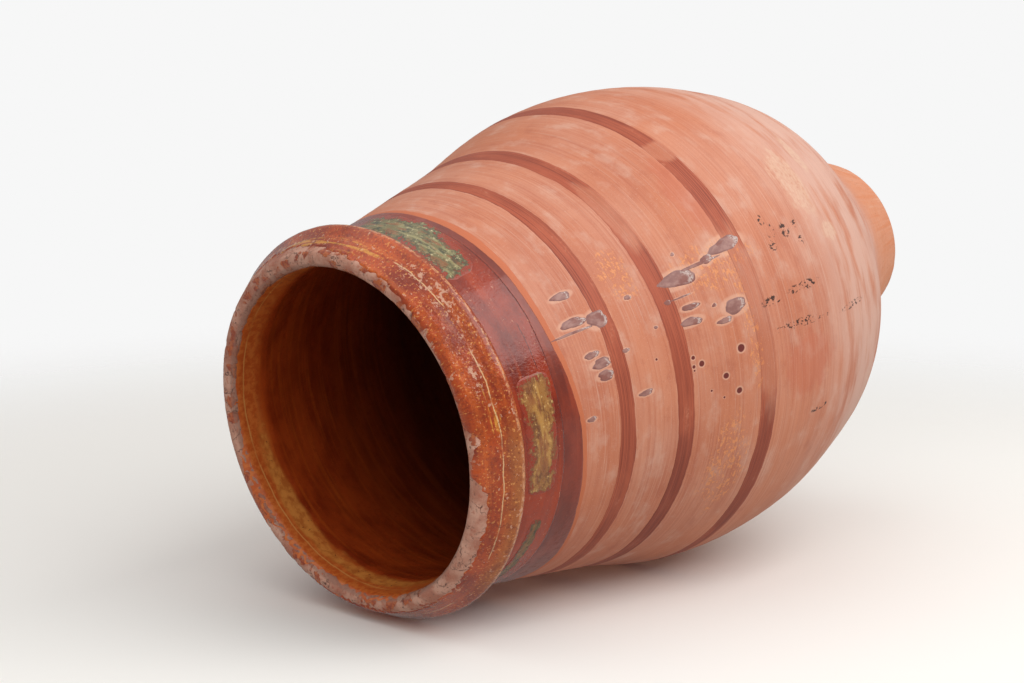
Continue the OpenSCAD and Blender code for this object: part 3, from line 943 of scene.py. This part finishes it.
def make_slip_band(name, low, high, seed, material):
    """One painted band, brushed on as the jar turned."""
    turn = turns(TURN_STEPS)
    low = low * MM + ragged(turn, seed, 0.7 * MM, 0.25 * MM)
    high = high * MM + ragged(turn, seed + 5, 0.7 * MM, 0.25 * MM)
    mesh = coat_solid(name, turn, on_wall, low, high, even_coat(0.25 * SLIP), 0.08, rows=14)
    show(name, mesh, material)


def make_splash(name, start, end, low, high, material, seed):
    """A ragged splash of coloured glaze on the collar, between two angles and two heights."""
    turn = np.radians(np.linspace(start, end, 260))
    across = np.linspace(-1, 1, 260)
    body = np.clip(1 - np.abs(across) ** 14, 0.02, 1)
    middle = np.interp(across, [-1, 1], [sum(low[:1] + high[:1]) / 2, sum(low[1:] + high[1:]) / 2]) * MM
    half_low = middle - np.interp(across, [-1, 1], low) * MM
    half_high = np.interp(across, [-1, 1], high) * MM - middle
    uneven = 0.11 * (half_low + half_high)
    low_edge = middle - half_low * body + ragged(turn, seed, uneven, 0.5 * uneven) * body
    high_edge = middle + half_high * body + ragged(turn, seed + 3, uneven, 0.5 * uneven) * body
    fade = np.sqrt(np.clip((1 - np.abs(across)) * 12, 0, 1))
    lift = even_coat((GLAZE * 0.9 + 0.15 * MM) * fade)
    mesh = coat_solid(name, turn, on_wall, low_edge, high_edge, lift, 0.06, rows=24, whole=False)
    show(name, mesh, material)


def make_drops(name, places, seed, material):
    """Stray drops and runs of glaze on the shoulder."""
    mesh = drop_solid(places, 0.2 * GLAZE, seed)
    mesh.name = name
    show(name, mesh, material)


clay = body_clay()
bare = bare_clay()
slip = red_slip()
mauve = mauve_glaze()
make_foot(bare)
make_wall("lower_wall", bare)
for wall in WALLS[1:]:
    make_wall(wall, clay)
make_rim(worn_clay())
make_interior(glaze("brown_glaze", (206, 98, 34), (176, 70, 26), (140, 48, 18),
                    gloss=0.3, stain=interior_stain, seed=30, depth=0.2))
make_rim_glaze(glaze("amber_glaze", (210, 104, 36), (184, 74, 24), (134, 42, 14),
                     gloss=0.13, stain=rim_stain, seed=42, depth=0.5))
make_collar_glaze(glaze("red_glaze", (178, 68, 26), (154, 50, 18), (116, 34, 14),
                        gloss=0.12, stain=collar_stain, seed=46, depth=0.45))
make_maroon_band(glaze("maroon_glaze", (160, 66, 38), (138, 52, 30), (112, 40, 24),
                       gloss=0.28, seed=52, depth=0.2))
make_slip_line(slip)
make_slip_band("slip_band_upper", 392.5, 405, 111, slip)
make_slip_band("slip_band_middle", 347, 361, 121, slip)
make_slip_band("slip_band_lower", 284, 298.5, 131, slip)
make_splash("green_splash", 50, 99, (452, 444), (478, 474),
            splash("green_glaze", (58, 62, 36), (116, 106, 64), (156, 146, 98),
                   (212, 196, 150), 50, 99, 60), 141)
make_splash("ochre_splash", -21, 17, (452, 450), (477, 474),
            splash("ochre_glaze", (112, 64, 30), (160, 108, 50), (190, 140, 70),
                   (222, 182, 116), -21, 17, 64), 151)
make_splash("green_streak", -60, -29, (456, 456), (463, 466),
            splash("olive_glaze", (52, 52, 26), (108, 84, 38), (150, 112, 52),
                   (196, 160, 96), -60, -29, 68), 161)
make_drops("glaze_drips_upper", UPPER_DROPS, 1, mauve)
make_drops("glaze_drip_long", LONG_DROP, 2, mauve)
make_drops("glaze_drips_lower", LOWER_DROPS, 3, mauve)

# ---------------------------------------------------------------- floor, light and camera

REST_ANGLE = math.radians(-92.7)  # the side of the jar that touches the floor


def resting_plane():
    """A point on the floor and the floor's normal: it touches the ridge and the belly on one side."""
    z = np.linspace(0.15, 0.4, 400)
    wall = smooth_line(z, outer_knots[:, 0], outer_knots[:, 1])
    tilt = ((RIDGE_R - wall) / (RIDGE_Z - z)).min()
    side = Vector((math.sin(REST_ANGLE), -math.cos(REST_ANGLE), 0))
    touch = side * RIDGE_R + Vector((0, 0, RIDGE_Z))
    along = (side * tilt + Vector((0, 0, 1))).normalized()
    across = Vector((0, 0, 1)).cross(side).normalized()
    normal = along.cross(across).normalized()
    return touch, normal if normal.dot(side) < 0 else -normal


def stage_material():
    """A plain pale floor that fades out to the background and can't be seen from underneath."""
    material = bpy.data.materials.new("floor_paper")
    s = Nodes(material)
    s.tree.nodes.remove(s.tree.nodes["Principled BSDF"])
    paper = s.fed(s.add("BsdfDiffuse"), (246, 243, 238))
    clear = s.add("BsdfTransparent").outputs[0]
    reach = s.add("VectorMath", operation="LENGTH")
    s.feed(reach.inputs[0], s.add("TexCoord").outputs["Object"])
    faded = s.step(reach.outputs["Value"], 0.45, 1.15, kind="SMOOTHERSTEP")
    hidden = s.math("MAXIMUM", faded, s.add("NewGeometry").outputs["Backfacing"])
    indirect = s.math("SUBTRACT", 1.0, s.add("LightPath").outputs["Is Camera Ray"])
    thinned = s.math("MAXIMUM", hidden, s.math("MULTIPLY", indirect, 0.5))
    mixed = s.fed(s.add("MixShader"), thinned, paper, clear)
    s.feed(s.tree.nodes["Material Output"].inputs["Surface"], mixed)
    return material


def make_floor():
    """The floor's plane, centred under the jar."""
    touch, normal = resting_plane()
    centre = Vector((0, 0, RIM_TOP / 2))
    centre = centre + normal * (touch - centre).dot(normal)
    mesh = bpy.data.meshes.new("floor")
    half = 1.2
    corners = [(-half, -half, 0), (half, -half, 0), (half, half, 0), (-half, half, 0)]
    mesh.from_pydata(corners, [], [(0, 1, 2, 3)])
    mesh.materials.append(stage_material())
    floor = bpy.data.objects.new("floor", mesh)
    bpy.context.scene.collection.objects.link(floor)
    floor.rotation_mode = "QUATERNION"
    floor.rotation_quaternion = normal.to_track_quat("Z", "Y")
    floor.location = centre - normal * 0.1 * MM
    return normal


def make_world(up):
    """A near-white room: brighter from above the lying jar than from below it."""
    world = bpy.data.worlds.new("studio")
    bpy.context.scene.world = world
    s = Nodes(world)
    seen = s.tree.nodes["Background"]
    seen.inputs["Color"].default_value = (0.93, 0.93, 0.93, 1)
    seen.inputs["Strength"].default_value = 1.0
    rise = s.add("VectorMath", operation="DOT_PRODUCT")
    s.feed(rise.inputs[0], s.add("TexCoord").outputs["Generated"])
    s.feed(rise.inputs[1], up)
    lit = s.add("Background")
    s.feed(lit.inputs["Strength"], s.step(rise.outputs["Value"], -1.0, 1.0, start=0.30, end=0.58))
    camera_ray = s.add("LightPath").outputs["Is Camera Ray"]
    mixed = s.fed(s.add("MixShader"), camera_ray, lit.outputs[0], seen.outputs[0])
    s.feed(s.tree.nodes["World Output"].inputs["Surface"], mixed)


def make_light(name, toward, distance, width, height, power, aim, shiny=True):
    """A soft box at a distance in one direction from the point it lights. Only a shiny one is mirrored."""
    data = bpy.data.lights.new(name, "AREA")
    data.shape = "RECTANGLE"
    data.size = width
    data.size_y = height
    data.energy = power
    light = bpy.data.objects.new(name, data)
    light.visible_glossy = shiny
    bpy.context.scene.collection.objects.link(light)
    direction = Vector(toward).normalized()
    light.location = Vector(aim) + direction * distance
    light.rotation_mode = "QUATERNION"
    light.rotation_quaternion = direction.to_track_quat("Z", "Y")


def make_camera():
    """The photograph's viewpoint: in front of the mouth, a little above the jar, with the floor level."""
    data = bpy.data.cameras.new("camera")
    data.sensor_fit = "HORIZONTAL"
    data.sensor_width = 36
    data.lens = 84.4
    camera = bpy.data.objects.new("camera", data)
    bpy.context.scene.collection.objects.link(camera)
    right = Vector((-0.1308, -0.7318, -0.6689)).normalized()
    forward = Vector((-0.2362, 0.6782, -0.6959)).normalized()
    up = right.cross(forward).normalized()
    turned = Matrix((right, up, -forward)).transposed().to_4x4()
    camera.matrix_world = Matrix.Translation((0.3837, -1.0543, 1.4381)) @ turned
    data.clip_start, data.clip_end = 0.05, 20
    bpy.context.scene.camera = camera


up = make_floor()
make_world(up)
MIDDLE = (0, 0, 0.3)
make_light("front", (0.60, -0.58, 0.55), 2.3, 1.6, 1.6, 12, MIDDLE, shiny=False)
make_light("window", (0.66, -0.70, -0.30), 1.9, 1.5, 1.9, 24, MIDDLE)
make_light("sky", (0.95, 0.15, -0.05), 2.0, 2.2, 2.2, 9, MIDDLE)
make_camera()
bpy.context.scene.view_settings.view_transform = "Standard"
